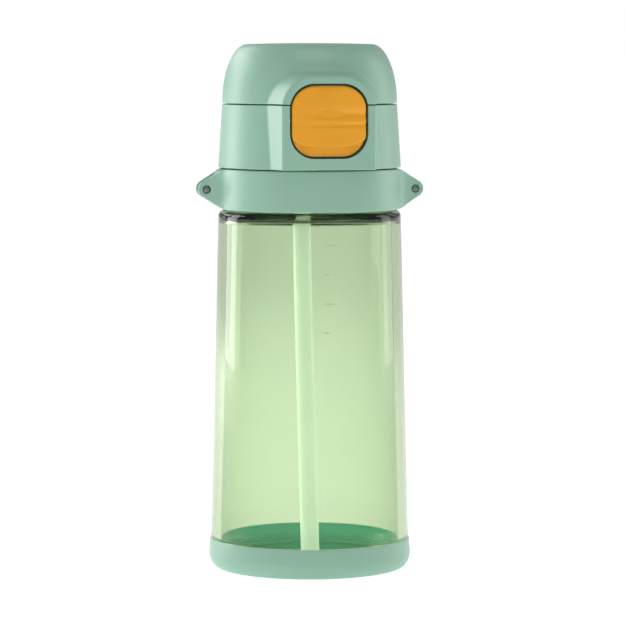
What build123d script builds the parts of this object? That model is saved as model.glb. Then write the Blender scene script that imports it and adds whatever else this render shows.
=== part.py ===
from build123d import *
from math import acos, atan2, cos, degrees, hypot, radians, sin, sqrt, tan
import os

# Straw bottle for a child, millimetres.  The origin is the centre of the underside,
# +Z is up, the push button faces -Y and the lid hinge is at +Y.

# ---------------------------------------------------------------- driving dimensions
# Clear body and its boot
boot_floor = 2.0
boot_height = 11.4
boot_wall = 1.8
boot_bulge = 0.4
boot_foot_inset = 3.8
boot_edge_height = 6.0
boot_overhang = 0.2
body_bottom_radius = 37.8
body_top_radius = 34.6
body_wall = 3.6
shoulder_wall = 2.2
shoulder_rise = 0.8
body_floor = 2.5
body_height = 134.1
shoulder_round = 2.6
inner_round = 6.0
snap_depth = 0.4
snap_height = 1.2

# Strap ring
ring_height = 15.4
ring_wall = 2.0
ring_deck = 2.0
ring_overhang = 0.2
ring_draft = 0.4
ring_twist = -4.5
ear_reach = 8.0
ear_tip_radius = 3.2
ear_width = 12.0
ear_root_round = 9.0
ear_shoulder_round = 6.0
strap_slot = 7.0
slot_back = 1.2
strap_pin_radius = 1.5
pin_recess_radius = 1.75
pin_recess_depth = 0.5

# Cap
cap_height = 23.8
cap_draft = 1.5
cap_wall = 2.2
basin_depth = 1.8
plate_thickness = 1.4
insert_deck = 1.6
insert_wall = 2.1
insert_backing = 0.2
gasket_thickness = 1.7
rib_count = 8
rib_start = 22.5
rib_width = 1.4
shelf_width = 6.4

# Neck and thread
neck_wall = 2.6
thread_depth = 1.2
thread_pitch = 4.0
thread_turns = 1.25
thread_root_width = 1.9
thread_crest_width = 1.1
bead_height = 1.4
nut_thread_relief = 0.5

# Lid
lid_height = 22.6
lid_wall = 2.0
lid_crown = 0.4
lid_shoulder_width = 9.7
liner_thickness = 1.4
seal_thickness = 2.0
seal_radius = 6.4
seal_hang = 5.0
liner_skirt = 1.4
liner_skirt_share = 0.7

# Button and its raised housing
button_width = 28.5
button_height = 26.7
button_corner = 8.9
button_thickness = 2.0
button_above_seam = 7.6
button_proud = 0.4
pocket_gap = 0.5
pocket_depth = 6.3
pocket_back = 1.4
boss_rim = 2.7
boss_stand = 3.4
boss_depth = 14.0
boss_draft = 19.0
boss_corner = 12.0
boss_edge_round = 1.2
boss_root_round = 3.0
button_edge_round = 0.9
pin_grip = 1.8
button_pin_radius = 1.0
lug_radius = 2.0
lug_width = 3.0
lug_offset = 10.0
hook_height = 2.2
hook_width = 9.0
hook_room = 2.4
ledge_height = 1.6
ledge_rise = 0.8
ledge_margin = 1.0
button_spring_radius = 2.4
button_spring_wire = 0.6
button_spring_turns = 3

# Hinge
hinge_set_back = 1.4
hinge_rise = 1.0
knuckle_radius = 3.2
knuckle_width = 4.2
hinge_pin_radius = 1.2
hinge_web = 5.6
spring_bay = 9.3
lid_spring_radius = 2.1
lid_spring_wire = 0.6
lid_spring_turns = 4.5

# Straw, mouthpiece and vent
straw_radius = 3.5
straw_wall = 0.8
straw_foot = Vector(-1.8, -10.0, 7.0)
straw_bend_z = 118.0
socket_wall = 1.5
socket_length = 10.0
socket_grip = 8.4
socket_inset = 2.4
spigot_height = 4.4
spigot_wall = 1.0
mouth_flange_radius = 9.0
mouth_flange = 1.2
mouth_radius = 6.2
mouth_tip_radius = 4.7
mouth_bore = 2.0
mouth_foot = 0.8
mouth_waist = 2.0
mouth_waist_rise = 6.0
mouth_tip_bevel = 1.2
mouth_tip_height = 1.6
vent_place = -11.0
vent_stem_radius = 1.6
vent_disc_radius = 4.2
vent_disc = 0.8
vent_relief = 2.9
vent_relief_radius = 0.6
vent_barb = 0.5

# Clearances
turn_gap = 0.3
seam_gap = 0.4
bead_gap = 0.4
running_gap = 0.05
fuse_overlap = 0.3
catch_gap = 0.4
edge_round = 0.6
seam_round = 0.35

# ---------------------------------------------------------------- levels and radii
shoulder_z = boot_floor + body_height
ring_base_z = shoulder_z + turn_gap
ring_top_z = ring_base_z + ring_height
ring_mid_z = (ring_base_z + ring_top_z) / 2
cap_base_z = ring_top_z + seam_gap
cap_top_z = cap_base_z + cap_height
lid_base_z = cap_top_z + seam_gap
lid_top_z = lid_base_z + lid_height - lid_crown

plate_top_z = cap_top_z - basin_depth
plate_base_z = plate_top_z - plate_thickness
deck_top_z = plate_base_z - mouth_flange
deck_base_z = deck_top_z - insert_deck
gasket_base_z = deck_base_z - gasket_thickness
neck_top_z = gasket_base_z - turn_gap

ring_bottom_radius = body_top_radius + ring_overhang
ring_top_radius = ring_bottom_radius - ring_draft
cap_bottom_radius = ring_top_radius + ring_overhang
cap_top_radius = cap_bottom_radius - cap_draft
cap_inner_radius = cap_top_radius - cap_wall
lid_flat_radius = cap_top_radius - lid_shoulder_width

boss_face = cap_top_radius + boss_stand
pocket_floor = boss_face - pocket_depth
housing_back = pocket_floor - pocket_back
insert_outer_radius = housing_back - insert_backing
insert_inner_radius = insert_outer_radius - insert_wall
neck_crest_radius = insert_inner_radius - turn_gap
neck_root_radius = neck_crest_radius - thread_depth
insert_crest_radius = neck_root_radius + turn_gap
neck_bore_radius = neck_root_radius - neck_wall
neck_bead_radius = insert_inner_radius - bead_gap
ring_hole_radius = neck_root_radius + turn_gap
bead_base_z = ring_top_z + bead_gap
insert_base_z = bead_base_z + bead_gap
neck_thread_z = bead_base_z + bead_height + thread_root_width + thread_pitch / 2
shelf_radius = cap_inner_radius - shelf_width

socket_radius = straw_radius + socket_wall
straw_y = neck_bore_radius - socket_inset - socket_radius
straw_bore = straw_radius - straw_wall

button_centre_z = cap_top_z + button_above_seam - button_height / 2
button_top_z = button_centre_z + button_height / 2
button_face = boss_face + button_proud
button_back = button_face - button_thickness
pocket_half = button_width / 2 + pocket_gap
pocket_top_z = button_top_z + pocket_gap
button_axis_y = -(pocket_floor + bead_gap + lug_radius)
spring_z = button_centre_z - button_height / 3
ledge_z = lid_base_z + ledge_rise
hook_z = ledge_z + ledge_height + catch_gap
hook_tip = pocket_floor + hook_room

hinge_y = cap_top_radius + hinge_set_back
hinge_z = cap_top_z + hinge_rise
lid_knuckle_x = (spring_bay + knuckle_width) / 2
cap_knuckle_x = lid_knuckle_x + knuckle_width + turn_gap

seal_base_z = lid_top_z - lid_wall - seal_hang
seal_top_z = seal_base_z + seal_thickness
mouth_top_z = seal_base_z - turn_gap

# ---------------------------------------------------------------- shared shapes


def lathe(points):
    """Solid turned about Z from (radius, height) corners."""
    with BuildPart() as turned:
        with BuildSketch(Plane.XZ):
            with BuildLine():
                Polyline(*points, close=True)
            make_face()
        revolve(axis=Axis.Z)
    return turned.part


def pocket_outline(grow, mode=Mode.ADD):
    """Rounded square of the push button, grown all round."""
    return RectangleRounded(
        button_width + 2 * grow, button_height + 2 * grow, button_corner + grow, mode=mode
    )


def front_plane(distance, height):
    """Upright plane in front of the axis, facing -Y."""
    return Plane(origin=(0, -distance, height), x_dir=(1, 0, 0), z_dir=(0, -1, 0))


def across_plane(y, z):
    """Plane square to X, used for what lies along the hinge or the button pin."""
    return Plane(origin=(0, y, z), x_dir=(0, 1, 0), z_dir=(1, 0, 0))


def cross_pin(radius, length, y, z, round_end):
    """Round pin along X with rounded ends."""
    with BuildPart() as pin:
        with BuildSketch(across_plane(y, z)):
            Circle(radius)
        extrude(amount=length / 2, both=True)
        fillet(pin.edges().filter_by(GeomType.CIRCLE), round_end)
    return pin.part


def boss_block(base_z, top_z):
    """Raised housing round the button: a tapering block with rounded top corners."""
    spread = boss_depth * tan(radians(boss_draft))
    half = pocket_half + boss_rim + spread
    top = pocket_top_z + boss_rim + spread
    low = ring_base_z
    with BuildPart() as block:
        with BuildSketch(front_plane(boss_face - boss_depth, 0)) as outline:
            with Locations((0, (top + low) / 2)):
                Rectangle(2 * half, top - low)
            fillet(outline.vertices().group_by(Axis.Y)[-1], boss_corner + spread)
        extrude(amount=boss_depth, taper=boss_draft)
        with BuildSketch(Plane.XY.offset(base_z)):
            Rectangle(4 * boss_face, 4 * boss_face)
        extrude(amount=top_z - base_z, mode=Mode.INTERSECT)
    return block.part


def boss_junction(builder, base_z):
    """Long edges where the button's housing runs into the round wall behind it."""
    front = builder.edges().filter_by(lambda edge: edge.center().Y < -pocket_half)
    raised = front.filter_by(lambda edge: edge.center().Z > base_z + 1 and edge.length > 10)
    return raised.filter_by(lambda edge: edge.center().Y > -cap_top_radius and not_on_block(edge))


def not_on_block(edge):
    """True for an edge that follows the round wall, false for the block's own corner seams."""
    return any(abs(wall_gap(edge @ place)) < 0.05 for place in (0.35, 0.65))


def wall_gap(point):
    """Distance outside the smooth round wall of the cap or lid at a point's height."""
    radius = sqrt(point.X**2 + point.Y**2)
    if point.Z < cap_top_z:
        share = (point.Z - cap_base_z) / cap_height
        return radius - (cap_bottom_radius - cap_draft * share)
    rise = (point.Z - lid_base_z) / (lid_top_z - lid_base_z)
    return radius - (lid_flat_radius + lid_shoulder_width * sqrt(1 - rise**2))


def helical_rib(radius, reach, start_z, root_width, crest_width):
    """One thread rib: a trapezium swept along a helix; reach < 0 points inwards."""
    sink = fuse_overlap if reach > 0 else -fuse_overlap
    with BuildPart() as rib:
        with BuildLine(Plane.XY.offset(start_z)) as path:
            Helix(thread_pitch, thread_pitch * thread_turns, radius)
        with BuildSketch(Plane(origin=path.line @ 0, x_dir=(1, 0, 0), z_dir=path.line % 0)):
            with BuildLine():
                Polyline(
                    (-sink, -root_width / 2),
                    (0, -root_width / 2),
                    (reach, -crest_width / 2),
                    (reach, crest_width / 2),
                    (0, root_width / 2),
                    (-sink, root_width / 2),
                    close=True,
                )
            make_face()
        sweep(path=path.line, is_frenet=True)
    return rib.part


def finish(builder, name):
    """Name a finished piece and write it."""
    builder.part.label = name
    os.makedirs("parts", exist_ok=True)
    export_step(builder.part, f"parts/{name}.step")


# ---------------------------------------------------------------- clear body
foot_radius = body_bottom_radius + boot_overhang - boot_wall
inner_top_radius = body_top_radius - body_wall
inner_bottom_radius = body_bottom_radius - body_wall
body_floor_z = boot_floor + body_floor
inner_top_z = shoulder_z - shoulder_wall - shoulder_rise
snap_z = boot_floor + (boot_height - boot_floor) / 2

with BuildPart() as bottle_body:
    with BuildSketch(Plane.XZ) as section:
        with BuildLine():
            Polyline(
                (0, boot_floor),
                (foot_radius, boot_floor),
                (foot_radius, boot_height),
                (body_bottom_radius, boot_height),
                (body_top_radius, shoulder_z),
                (neck_root_radius, shoulder_z),
                (neck_root_radius, neck_top_z),
                (0, neck_top_z),
                close=True,
            )
        make_face()
        shoulder_corner = section.vertices().sort_by_distance((body_top_radius, shoulder_z))[0]
        fillet(shoulder_corner, shoulder_round)
    revolve(axis=Axis.Z)
    with BuildSketch(Plane.XZ) as hollow:
        with BuildLine():
            Polyline(
                (0, body_floor_z),
                (inner_bottom_radius, body_floor_z),
                (inner_top_radius, inner_top_z),
                (neck_bore_radius, inner_top_z + shoulder_rise),
                (neck_bore_radius, neck_top_z + 1),
                (0, neck_top_z + 1),
                close=True,
            )
        make_face()
        floor_corner = hollow.vertices().sort_by_distance((inner_bottom_radius, body_floor_z))[0]
        fillet(floor_corner, inner_round)
        upper_corner = hollow.vertices().sort_by_distance((inner_top_radius, inner_top_z))[0]
        fillet(upper_corner, shoulder_round)
    revolve(axis=Axis.Z, mode=Mode.SUBTRACT)
    with BuildSketch(Plane.XZ):
        with BuildLine():
            Polyline(
                (neck_root_radius - fuse_overlap, bead_base_z),
                (neck_bead_radius, bead_base_z),
                (neck_bead_radius, bead_base_z + bead_height / 2),
                (neck_root_radius - fuse_overlap, bead_base_z + bead_height),
                close=True,
            )
        make_face()
    revolve(axis=Axis.Z)
    with BuildSketch(Plane.XZ):
        with Locations((foot_radius, snap_z)):
            Rectangle(2 * snap_depth, snap_height)
    revolve(axis=Axis.Z, mode=Mode.SUBTRACT)
    add(helical_rib(neck_root_radius, thread_depth, neck_thread_z, thread_root_width, thread_crest_width))
finish(bottle_body, "bottle_body")

# ---------------------------------------------------------------- opaque boot
boot_radius = body_bottom_radius + boot_overhang

with BuildPart() as base_boot:
    with BuildSketch(Plane.XZ):
        with BuildLine():
            rim = (boot_radius, boot_height)
            widest = (boot_radius + boot_bulge, boot_edge_height)
            Line((0, 0), (boot_radius + boot_bulge - boot_foot_inset, 0))
            EllipticalCenterArc(
                (boot_radius + boot_bulge - boot_foot_inset, boot_edge_height),
                boot_foot_inset,
                boot_edge_height,
                start_angle=270,
                arc_size=90,
            )
            Line(widest, rim)
            Polyline(
                rim,
                (foot_radius, boot_height),
                (foot_radius, snap_z + snap_height / 2),
                (foot_radius - snap_depth, snap_z + snap_height / 2),
                (foot_radius - snap_depth, snap_z - snap_height / 2),
                (foot_radius, snap_z - snap_height / 2),
                (foot_radius, boot_floor),
                (0, boot_floor),
                (0, 0),
            )
        make_face()
    revolve(axis=Axis.Z)
finish(base_boot, "base_boot")

# ---------------------------------------------------------------- strap ring and its pins
ring_skirt = ring_top_radius - ring_wall
ring_taper = degrees(atan2(ring_draft, ring_height))
ear_root = ring_top_radius - 1.0
ear_pin_distance = ring_bottom_radius + ear_reach - ear_tip_radius
slot_start = ring_bottom_radius + slot_back


def ear_plane(side):
    """Upright plane through one ear; x runs outwards and the normal runs along its pin."""
    turn = radians(ring_twist)
    out_x = side * cos(turn)
    out_y = side * sin(turn)
    return Plane(origin=(0, 0, ring_mid_z), x_dir=(out_x, out_y, 0), z_dir=(out_y, -out_x, 0))


def ring_rim(edge):
    """True for an edge round the top or foot of the ring and its ears, false for a smooth seam."""
    run = edge @ 1 - edge @ 0
    upright = hypot(run.X, run.Y) < edge_round and not edge.is_closed
    return not upright and abs(ear_plane(1).to_local_coords(edge.center()).Z) > ear_width / 4


with BuildPart() as strap_ring:
    with BuildSketch(Plane.XY.offset(ring_base_z).rotated((0, 0, ring_twist))) as plan:
        Circle(ring_bottom_radius)
        Rectangle(2 * (ear_pin_distance + 2 * ear_tip_radius), ear_width)
        roots = plan.vertices().filter_by(lambda corner: hypot(corner.X, corner.Y) < ear_pin_distance)
        fillet(roots, ear_root_round)
    extrude(amount=ring_height, taper=ring_taper)
    with BuildSketch(ear_plane(1)) as front:
        Rectangle(2 * ear_root, ring_height)
        with Locations((ear_pin_distance, 0), (-ear_pin_distance, 0)):
            Circle(ear_tip_radius)
        make_hull()
        shoulders = front.vertices().filter_by(
            lambda corner: abs(abs(corner.Y) - ring_height / 2) < running_gap
        )
        fillet(shoulders, ear_shoulder_round)
    extrude(amount=2 * ring_bottom_radius, both=True, mode=Mode.INTERSECT)
    fillet(strap_ring.edges().filter_by(ring_rim), edge_round)
    add(
        lathe(
            [
                (0, ring_base_z - 1),
                (ring_skirt, ring_base_z - 1),
                (ring_skirt, ring_top_z - ring_deck),
                (ring_hole_radius, ring_top_z - ring_deck),
                (ring_hole_radius, ring_top_z + 1),
                (0, ring_top_z + 1),
            ]
        ),
        mode=Mode.SUBTRACT,
    )
    for side in (1, -1):
        with BuildSketch(ear_plane(side)):
            with Locations((slot_start + ear_reach, 0)):
                Rectangle(2 * ear_reach, 2 * ring_height)
        extrude(amount=strap_slot / 2, both=True, mode=Mode.SUBTRACT)
        with BuildSketch(ear_plane(side)):
            with Locations((ear_pin_distance, 0)):
                Circle(strap_pin_radius)
        extrude(amount=ear_width, both=True, mode=Mode.SUBTRACT)
        for end in (1, -1):
            with BuildSketch(ear_plane(side).offset(end * ear_width / 2)):
                with Locations((ear_pin_distance, 0)):
                    Circle(pin_recess_radius)
            extrude(amount=-end * pin_recess_depth, mode=Mode.SUBTRACT)
finish(strap_ring, "strap_ring")

for side, side_name in ((1, "right"), (-1, "left")):
    with BuildPart() as strap_pin:
        with BuildSketch(ear_plane(side)):
            with Locations((ear_pin_distance, 0)):
                Circle(strap_pin_radius)
        extrude(amount=ear_width / 2 - 0.1, both=True)
        fillet(strap_pin.edges().filter_by(GeomType.CIRCLE), strap_pin_radius / 2)
    finish(strap_pin, f"strap_pin_{side_name}")

# ---------------------------------------------------------------- cap shell


def knuckles(centre_x, low_z, high_z):
    """A pair of hinge eyes with webs between two levels that run in to the wall."""
    with BuildPart() as pair:
        for sign in (1, -1):
            with BuildSketch(across_plane(hinge_y, hinge_z).offset(sign * centre_x)):
                Circle(knuckle_radius)
                with Locations((-hinge_web / 2, (low_z + high_z) / 2 - hinge_z)):
                    Rectangle(hinge_web, high_z - low_z)
            extrude(amount=knuckle_width / 2, both=True)
    return pair.part


def knuckle_room(centre_x, width):
    """Round space about the hinge axis in which the other part's eyes turn."""
    with BuildPart() as room:
        for sign in (1, -1):
            with BuildSketch(across_plane(hinge_y, hinge_z).offset(sign * centre_x)):
                Circle(knuckle_radius + seam_gap)
            extrude(amount=width / 2, both=True)
    return room.part


room_width = knuckle_width + 2 * turn_gap


def hinge_rooms(eye_x):
    """Space for the other part's pair of eyes and for the spring between them."""
    with BuildPart() as rooms:
        add(knuckle_room(eye_x, room_width))
        add(knuckle_room(0, 2 * (lid_knuckle_x - knuckle_width / 2)))
    return rooms.part


with BuildPart() as cap_shell:
    add(
        lathe(
            [
                (0, cap_base_z),
                (cap_bottom_radius, cap_base_z),
                (cap_top_radius, cap_top_z),
                (0, cap_top_z),
            ]
        )
    )
    add(boss_block(cap_base_z, cap_top_z))
    fillet(boss_junction(cap_shell, cap_base_z), boss_root_round)
    fillet(cap_shell.edges().filter_by(Axis.Z).group_by(Axis.Y)[0], boss_edge_round)
    fillet(cap_shell.edges().group_by(Axis.Z)[0], seam_round)
    fillet(cap_shell.edges().group_by(Axis.Z)[-1], seam_round)
    add(knuckles(cap_knuckle_x, hinge_z - knuckle_radius, cap_top_z))
    add(
        lathe(
            [
                (0, cap_base_z - 1),
                (cap_inner_radius, cap_base_z - 1),
                (cap_inner_radius, deck_top_z),
                (shelf_radius, deck_top_z),
                (shelf_radius, plate_base_z),
                (cap_inner_radius, plate_base_z),
                (cap_inner_radius, cap_top_z + 1),
                (0, cap_top_z + 1),
            ]
        ),
        mode=Mode.SUBTRACT,
    )
    with BuildSketch(front_plane(housing_back, button_centre_z)):
        pocket_outline(pocket_gap + pocket_back)
    extrude(amount=pocket_back + 1.0)
    with BuildSketch(front_plane(pocket_floor, button_centre_z)):
        pocket_outline(pocket_gap)
    extrude(amount=2 * pocket_depth, mode=Mode.SUBTRACT)
    with BuildSketch(Plane.XY.offset(cap_top_z)):
        with Locations((0, -cap_top_radius)):
            Rectangle(4 * pocket_half, cap_top_radius)
    extrude(amount=2 * button_height, mode=Mode.SUBTRACT)
    add(hinge_rooms(lid_knuckle_x), mode=Mode.SUBTRACT)
    with BuildSketch(across_plane(hinge_y, hinge_z)):
        Circle(hinge_pin_radius)
    extrude(amount=2 * cap_knuckle_x, both=True, mode=Mode.SUBTRACT)
    with BuildSketch(across_plane(button_axis_y, button_centre_z)):
        Circle(button_pin_radius)
    extrude(amount=pocket_half + pin_grip, both=True, mode=Mode.SUBTRACT)
finish(cap_shell, "cap_shell")

# ---------------------------------------------------------------- threaded insert
spigot_radius = straw_bore + spigot_wall
socket_base_z = deck_base_z - socket_length
straw_top_z = socket_base_z + socket_grip
front_trim = insert_outer_radius + 0.1


def trim_front(low_z, high_z):
    """Block in front of the button housing's back wall, for cutting discs short there."""
    with BuildPart() as block:
        with BuildSketch(Plane.XY.offset(low_z)):
            with Locations((0, -front_trim - cap_top_radius / 2)):
                Rectangle(2 * cap_top_radius, cap_top_radius)
        extrude(amount=high_z - low_z)
    return block.part


with BuildPart() as cap_insert:
    add(
        lathe(
            [
                (insert_inner_radius, insert_base_z),
                (insert_outer_radius, insert_base_z),
                (insert_outer_radius, deck_base_z),
                (cap_inner_radius, deck_base_z),
                (cap_inner_radius, deck_top_z),
                (0, deck_top_z),
                (0, deck_base_z),
                (insert_inner_radius, deck_base_z),
            ]
        )
    )
    rib_reach = cap_inner_radius - insert_outer_radius
    with BuildSketch(Plane.XY.offset(insert_base_z)):
        with PolarLocations(insert_outer_radius + rib_reach / 2 - 0.1, rib_count, start_angle=rib_start):
            Rectangle(rib_reach, rib_width)
    extrude(amount=deck_base_z - insert_base_z)
    add(trim_front(insert_base_z - 1, deck_top_z + 1), mode=Mode.SUBTRACT)
    with BuildSketch(Plane.XY.offset(socket_base_z)):
        with Locations((0, straw_y)):
            Circle(socket_radius)
    extrude(amount=socket_length)
    with BuildSketch(Plane.XY.offset(deck_top_z)):
        with Locations((0, straw_y)):
            Circle(spigot_radius)
    extrude(amount=spigot_height)
    with BuildSketch(Plane.XY.offset(socket_base_z)):
        with Locations((0, straw_y)):
            Circle(straw_radius)
    extrude(amount=socket_grip, mode=Mode.SUBTRACT)
    with BuildSketch(Plane.XY.offset(straw_top_z)):
        with Locations((0, straw_y)):
            Circle(straw_bore)
    extrude(amount=2 * socket_length, mode=Mode.SUBTRACT)
    with BuildSketch(Plane.XY.offset(deck_base_z)):
        with Locations((0, vent_place)):
            Circle(vent_stem_radius)
        with Locations((vent_relief, vent_place), (-vent_relief, vent_place)):
            Circle(vent_relief_radius)
    extrude(amount=insert_deck, mode=Mode.SUBTRACT)
    add(
        helical_rib(
            insert_inner_radius,
            -thread_depth,
            neck_thread_z - thread_pitch / 2,
            thread_root_width - nut_thread_relief,
            thread_crest_width,
        )
    )
finish(cap_insert, "cap_insert")

with BuildPart() as cap_gasket:
    add(
        lathe(
            [
                (neck_bore_radius + 0.2, gasket_base_z),
                (insert_inner_radius - 0.1, gasket_base_z),
                (insert_inner_radius - 0.1, deck_base_z - 0.05),
                (neck_bore_radius + 0.2, deck_base_z - 0.05),
            ]
        )
    )
finish(cap_gasket, "cap_gasket")

with BuildPart() as deck_plate:
    with BuildSketch(Plane.XY.offset(plate_base_z)):
        Circle(cap_inner_radius - running_gap)
        with Locations((0, straw_y)):
            Circle(mouth_radius + running_gap, mode=Mode.SUBTRACT)
        with Locations((0, vent_place)):
            Circle(vent_relief_radius * 2, mode=Mode.SUBTRACT)
    extrude(amount=plate_thickness)
    fillet(deck_plate.edges().group_by(Axis.Z)[-1].sort_by(SortBy.LENGTH)[-1], plate_thickness / 4)
    add(trim_front(plate_base_z - 1, plate_top_z + 1), mode=Mode.SUBTRACT)
finish(deck_plate, "deck_plate")

# ---------------------------------------------------------------- vent valve
with BuildPart() as vent_valve:
    with BuildSketch(Plane.XY.offset(deck_base_z - vent_disc)):
        with Locations((0, vent_place)):
            Circle(vent_disc_radius)
    extrude(amount=vent_disc)
    fillet(vent_valve.edges().group_by(Axis.Z)[0], vent_disc / 3)
    with BuildSketch(Plane.XY.offset(deck_base_z)):
        with Locations((0, vent_place)):
            Circle(vent_stem_radius)
    extrude(amount=insert_deck)
    with BuildSketch(Plane.XY.offset(deck_top_z)):
        with Locations((0, vent_place)):
            Circle(vent_stem_radius + vent_barb)
    extrude(amount=mouth_flange - 2 * running_gap, taper=25)
finish(vent_valve, "vent_valve")

# ---------------------------------------------------------------- mouthpiece and straw
mouth_plane = Plane(origin=(0, straw_y, 0), x_dir=(1, 0, 0), z_dir=(0, -1, 0))
mouth_axis = Axis((0, straw_y, 0), (0, 0, 1))

with BuildPart() as mouthpiece:
    with BuildSketch(mouth_plane):
        with BuildLine():
            root = (mouth_radius, plate_top_z + mouth_foot)
            tip = (mouth_tip_radius, mouth_top_z - mouth_tip_height)
            end = (mouth_tip_radius - mouth_tip_bevel, mouth_top_z)
            Polyline(
                (0, deck_top_z),
                (mouth_flange_radius, deck_top_z),
                (mouth_flange_radius, plate_base_z),
                (mouth_radius, plate_base_z),
                root,
            )
            Spline(
                root,
                (mouth_radius - mouth_waist, plate_top_z + mouth_waist_rise),
                tip,
                tangents=((0, 1), (0, 1)),
            )
            Polyline(tip, end, (0, mouth_top_z), (0, deck_top_z))
        make_face()
    revolve(axis=mouth_axis)
    with BuildSketch(Plane.XY.offset(deck_top_z)):
        with Locations((0, straw_y)):
            Circle(mouth_bore)
    extrude(amount=mouth_top_z, mode=Mode.SUBTRACT)
    with BuildSketch(Plane.XY.offset(deck_top_z)):
        with Locations((0, straw_y)):
            Circle(spigot_radius)
    extrude(amount=spigot_height, mode=Mode.SUBTRACT)
finish(mouthpiece, "mouthpiece")

straw_bend = Vector(0, straw_y, straw_bend_z)
straw_lean = atan2(sqrt((straw_y - straw_foot.Y) ** 2 + straw_foot.X**2), straw_bend_z - straw_foot.Z)
straw_bend_radius = 0.45 * (straw_top_z - straw_bend_z) / tan(straw_lean / 2)

with BuildPart() as straw:
    with BuildLine() as straw_line:
        FilletPolyline((0, straw_y, straw_top_z), straw_bend, straw_foot, radius=straw_bend_radius)
    with BuildSketch(Plane.XY.offset(straw_top_z)):
        with Locations((0, straw_y)):
            Circle(straw_radius)
            Circle(straw_bore, mode=Mode.SUBTRACT)
    sweep(path=straw_line.line)
finish(straw, "straw")

# ---------------------------------------------------------------- lid
inner_height = lid_top_z - lid_base_z - lid_wall
inner_shoulder = lid_shoulder_width - lid_wall
liner_top_z = seal_top_z + liner_thickness
liner_radius = (
    lid_flat_radius
    + inner_shoulder * sqrt(1 - ((liner_top_z - lid_base_z) / inner_height) ** 2)
    - turn_gap
)


def dome(width, height, crown):
    """Lid form: a barrel side that rolls over a quarter ellipse into a slightly crowned top."""
    top_z = lid_base_z + height
    crown_radius = (lid_flat_radius**2 + crown**2) / (2 * crown)
    crown_start = degrees(acos(lid_flat_radius / crown_radius))
    with BuildPart() as form:
        with BuildSketch(Plane.XZ):
            with BuildLine():
                EllipticalCenterArc(
                    (lid_flat_radius, lid_base_z), width, height, start_angle=0, arc_size=90
                )
                CenterArc((0, top_z + crown - crown_radius), crown_radius, crown_start, 90 - crown_start)
                Polyline(
                    (0, top_z + crown), (0, lid_base_z), (lid_flat_radius + width, lid_base_z)
                )
            make_face()
        revolve(axis=Axis.Z)
    return form.part


with BuildPart() as lid_shell:
    add(dome(lid_shoulder_width, lid_top_z - lid_base_z, lid_crown))
    add(boss_block(lid_base_z, lid_top_z))
    fillet(boss_junction(lid_shell, lid_base_z), boss_root_round)
    face_edges = lid_shell.edges().group_by(Axis.Y)[0]
    fillet(face_edges.filter_by(lambda edge: edge.center().Z > lid_base_z + 0.1), boss_edge_round)
    fillet(lid_shell.edges().group_by(Axis.Z)[0], seam_round)
    add(knuckles(lid_knuckle_x, lid_base_z, hinge_z + knuckle_radius))
    add(dome(inner_shoulder, inner_height, lid_crown), mode=Mode.SUBTRACT)
    with BuildSketch(front_plane(housing_back, button_centre_z)):
        pocket_outline(pocket_gap + pocket_back)
    extrude(amount=pocket_back + 1.0)
    with BuildSketch(front_plane(pocket_floor, button_centre_z)):
        pocket_outline(pocket_gap)
    extrude(amount=2 * pocket_depth, mode=Mode.SUBTRACT)
    with BuildSketch(Plane.XY.offset(lid_base_z)):
        with Locations((0, -cap_top_radius)):
            Rectangle(4 * pocket_half, cap_top_radius)
    extrude(amount=-2 * button_height, mode=Mode.SUBTRACT)
    with BuildSketch(front_plane(pocket_floor - pocket_back / 2, ledge_z + ledge_height / 2)):
        Rectangle(hook_width + 2 * ledge_margin, ledge_height)
    extrude(amount=hook_tip - catch_gap - pocket_floor + pocket_back / 2)
    add(hinge_rooms(cap_knuckle_x), mode=Mode.SUBTRACT)
    with BuildSketch(across_plane(hinge_y, hinge_z)):
        Circle(hinge_pin_radius + running_gap)
    extrude(amount=2 * cap_knuckle_x, both=True, mode=Mode.SUBTRACT)
finish(lid_shell, "lid_shell")

with BuildPart() as lid_liner:
    with BuildSketch(Plane.XY.offset(seal_top_z)):
        Circle(liner_radius)
    extrude(amount=liner_thickness)
    with BuildSketch(Plane.XY.offset(seal_top_z)):
        with Locations((0, straw_y)):
            Circle(seal_radius + liner_skirt)
            Circle(seal_radius, mode=Mode.SUBTRACT)
    extrude(amount=-seal_thickness * liner_skirt_share)
finish(lid_liner, "lid_liner")

with BuildPart() as lid_seal:
    with BuildSketch(Plane.XY.offset(seal_base_z)):
        with Locations((0, straw_y)):
            Circle(seal_radius)
    extrude(amount=seal_thickness)
    fillet(lid_seal.edges().group_by(Axis.Z)[0], seal_thickness / 4)
finish(lid_seal, "lid_seal")

# ---------------------------------------------------------------- hinge pin and spring
hinge_pin_length = 2 * cap_knuckle_x + knuckle_width
with BuildPart() as lid_hinge_pin:
    add(cross_pin(hinge_pin_radius, hinge_pin_length, hinge_y, hinge_z, hinge_pin_radius / 4))
finish(lid_hinge_pin, "lid_hinge_pin")

lid_spring_pitch = lid_spring_wire * 1.2
lid_spring_length = lid_spring_pitch * lid_spring_turns
leg_length = knuckle_radius - lid_spring_wire

with BuildPart() as lid_spring:
    coil_start = Vector(-lid_spring_length / 2, hinge_y, hinge_z)
    with BuildLine() as coil:
        Helix(
            lid_spring_pitch,
            lid_spring_length,
            lid_spring_radius,
            center=coil_start,
            direction=(1, 0, 0),
            lefthand=True,
        )
    with BuildSketch(Plane(origin=coil.line @ 0, z_dir=coil.line % 0)):
        Circle(lid_spring_wire / 2)
    sweep(path=coil.line, is_frenet=True)
    for end in (0, 1):
        with BuildSketch(Plane(origin=coil.line @ end + (0, fuse_overlap, 0), z_dir=(0, -1, 0))):
            Circle(lid_spring_wire / 2 - running_gap / 2)
        extrude(amount=leg_length)
finish(lid_spring, "lid_spring")

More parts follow.
